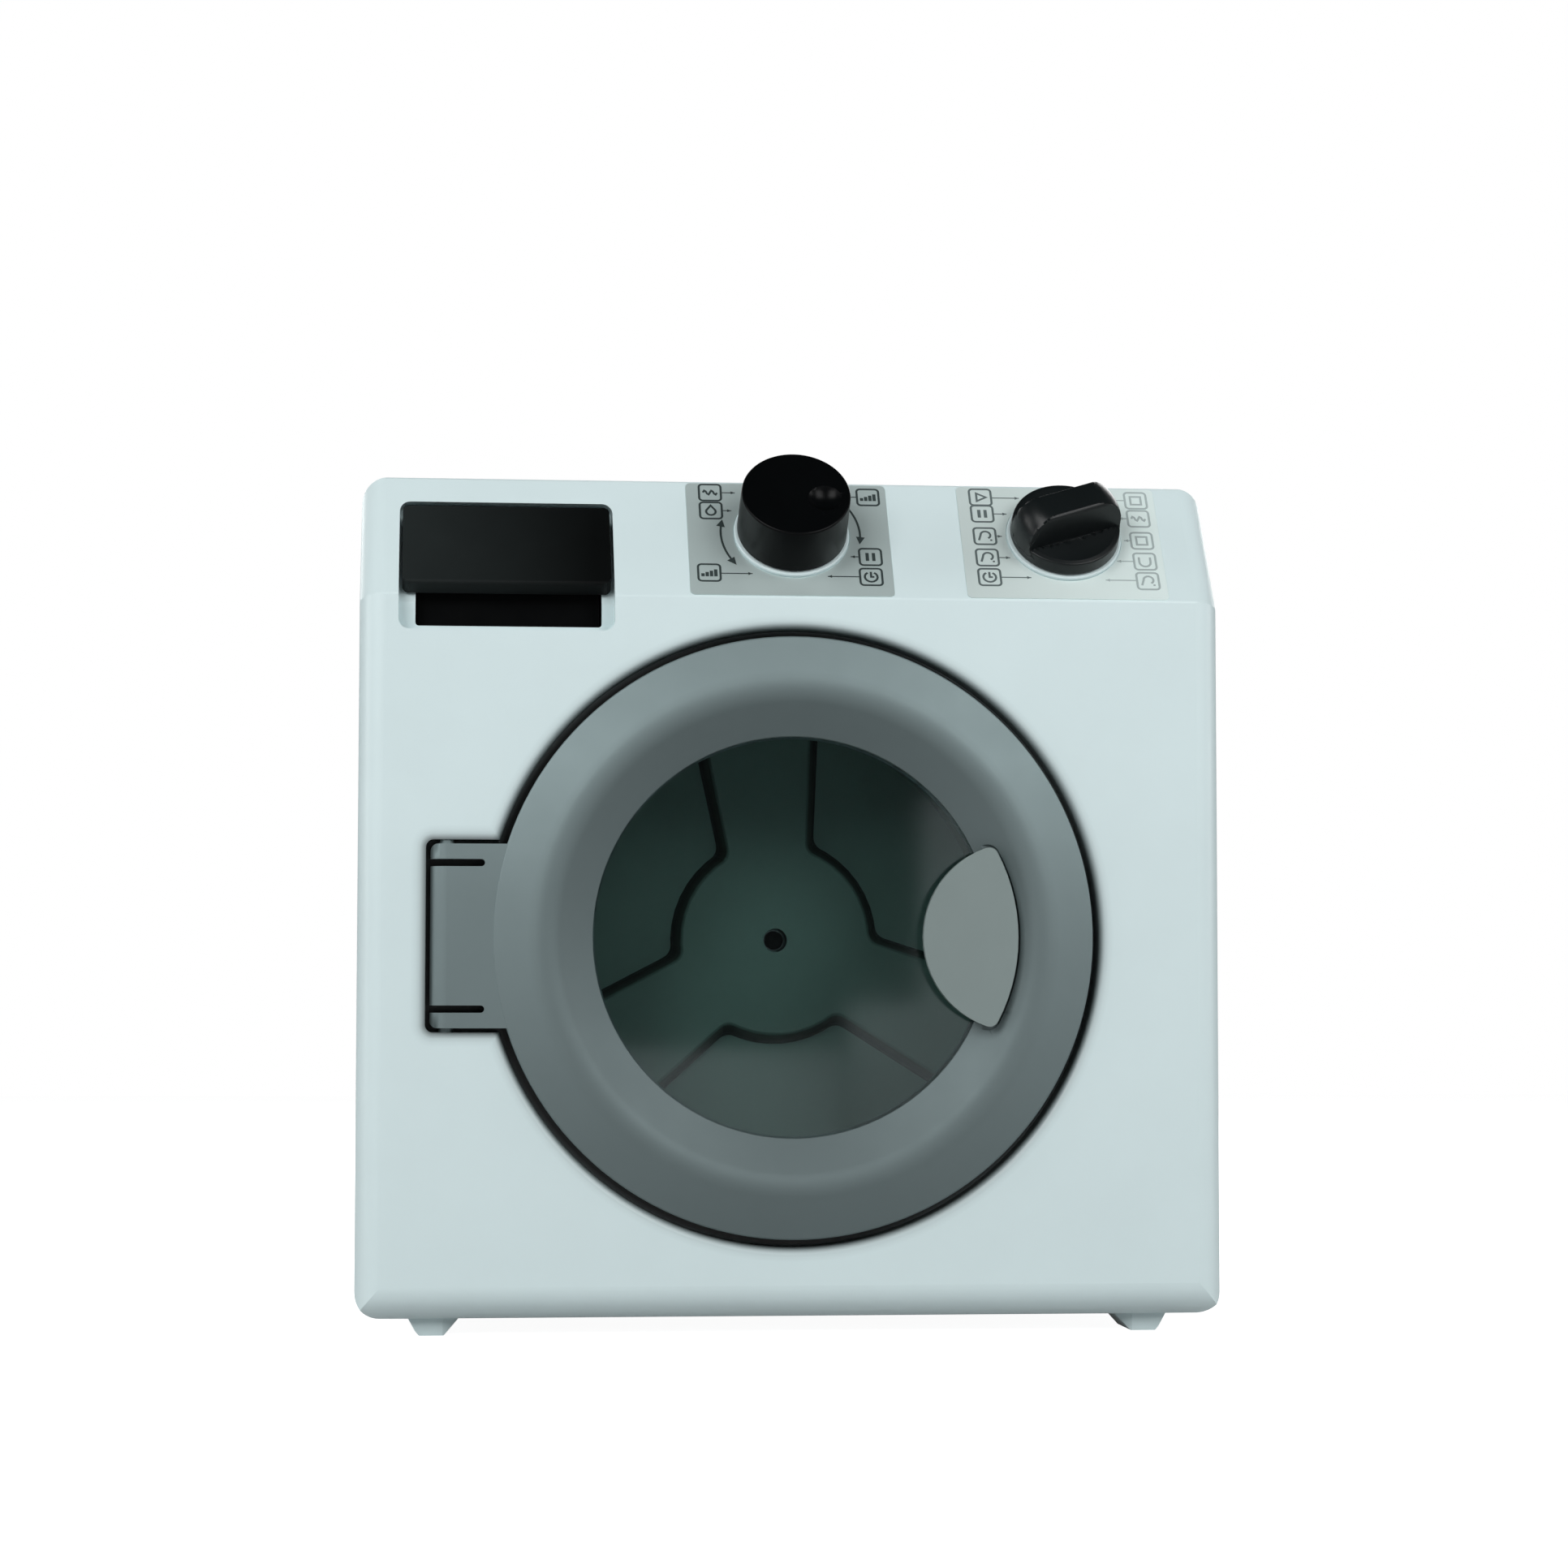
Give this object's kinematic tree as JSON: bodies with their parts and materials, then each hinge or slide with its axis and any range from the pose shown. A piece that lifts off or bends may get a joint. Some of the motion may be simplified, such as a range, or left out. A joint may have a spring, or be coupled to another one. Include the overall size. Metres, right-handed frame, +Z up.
{
  "type": "toy washing machine",
  "caption": "Front-loading toy washing machine with a hinged round glazed door, a geared tumbling drum, two turning knobs on a slanted panel and a pull-out drawer.",
  "frame": {"origin": "on the floor under the middle of the machine: the centre of the bounding box bottom face, in the plane of the feet", "axes": "+X to the right seen from the front, +Y from the door towards the back, +Z up"},
  "size_m": [0.24, 0.1538, 0.2448],
  "materials": {
    "body_white": "moulded plastic with a soft sheen",
    "door_grey": "moulded plastic, satin",
    "grip_grey": "moulded plastic, smooth",
    "window_clear": "clear moulded plastic, lightly tinted",
    "drum_grey": "moulded plastic, satin",
    "black_plastic": "moulded plastic with a soft sheen",
    "label_silver": "printed film, matt silver grey",
    "switch_grey": "moulded plastic, matt",
    "gear_cream": "natural nylon",
    "steel": "plain steel",
    "brass": "turned brass",
    "board_green": "lacquered laminate",
    "speaker_black": "paper cone in a plastic frame"
  },
  "bodies": {
    "cabinet": {"front_shell": "body_white", "rear_shell": "body_white", "case_screws": "steel", "battery_door": "body_white", "battery_screw": "steel", "battery_contacts": "steel", "tub": "switch_grey", "tub_screws": "steel", "drum_bearing": "brass", "idler_axle": "steel", "motor": "steel", "motor_screws": "steel", "gearbox_plate": "switch_grey", "gearbox_screws": "steel", "door_catch": "black_plastic", "catch_screws": "steel", "switch_left": "switch_grey", "switch_right": "switch_grey", "label_left": "label_silver", "label_right": "label_silver", "drawer_housing": "black_plastic", "drawer_screws": "steel", "circuit_board": "board_green", "board_screws": "steel", "speaker": "speaker_black", "speaker_clamps": "steel", "speaker_screws": "steel"},
    "door": {"door_ring": "door_grey", "door_backing": "door_grey", "door_window": "window_clear", "door_grip": "grip_grey", "door_hook": "door_grey", "door_screws": "steel"},
    "drum": {"drum": "drum_grey", "drum_star": "drum_grey", "drum_shaft": "steel", "drum_screw": "steel", "drum_gear": "gear_cream"},
    "idler": {"idler_gear": "gear_cream"},
    "rotor": {"motor_shaft": "steel", "motor_pinion": "brass"},
    "left_knob": {"knob_left": "black_plastic", "spindle_left": "steel"},
    "right_knob": {"knob_right": "black_plastic", "spindle_right": "steel"},
    "drawer": {"drawer_tray": "black_plastic", "drawer_front": "black_plastic"}
  },
  "joints": [
    {"name": "door_swing", "type": "hinge", "parent": "cabinet", "child": "door", "pos_m": [-0.0956, -0.06559, 0.1094], "axis": [0, 0, -1], "range_deg": [0, 105]},
    {"name": "drum_spin", "type": "hinge", "parent": "cabinet", "child": "drum", "pos_m": [0, -0.00809, 0.1094], "axis": [0, 1, 0], "continuous": true},
    {"name": "idler_spin", "type": "hinge", "parent": "cabinet", "child": "idler", "pos_m": [0.01846, 0.01191, 0.14137], "axis": [0, 1, 0], "continuous": true},
    {"name": "rotor_spin", "type": "hinge", "parent": "cabinet", "child": "rotor", "pos_m": [0.01222, 0.02191, 0.16467], "axis": [0, 1, 0], "continuous": true},
    {"name": "left_knob_turn", "type": "hinge", "parent": "cabinet", "child": "left_knob", "pos_m": [0.0004, -0.05455, 0.22283], "axis": [0, -0.8192, 0.5736], "range_deg": [-150, 150]},
    {"name": "right_knob_turn", "type": "hinge", "parent": "cabinet", "child": "right_knob", "pos_m": [0.0779, -0.05455, 0.22283], "axis": [0, -0.8192, 0.5736], "continuous": true},
    {"name": "drawer_slide", "type": "slide", "parent": "cabinet", "child": "drawer", "axis": [0, -1, 0], "range_m": [0, 0.038]}
  ],
  "couplings": [
    {"joint": "idler_spin", "follows": "drum_spin", "ratio": -6.6667},
    {"joint": "rotor_spin", "follows": "drum_spin", "ratio": 26.667}
  ]
}
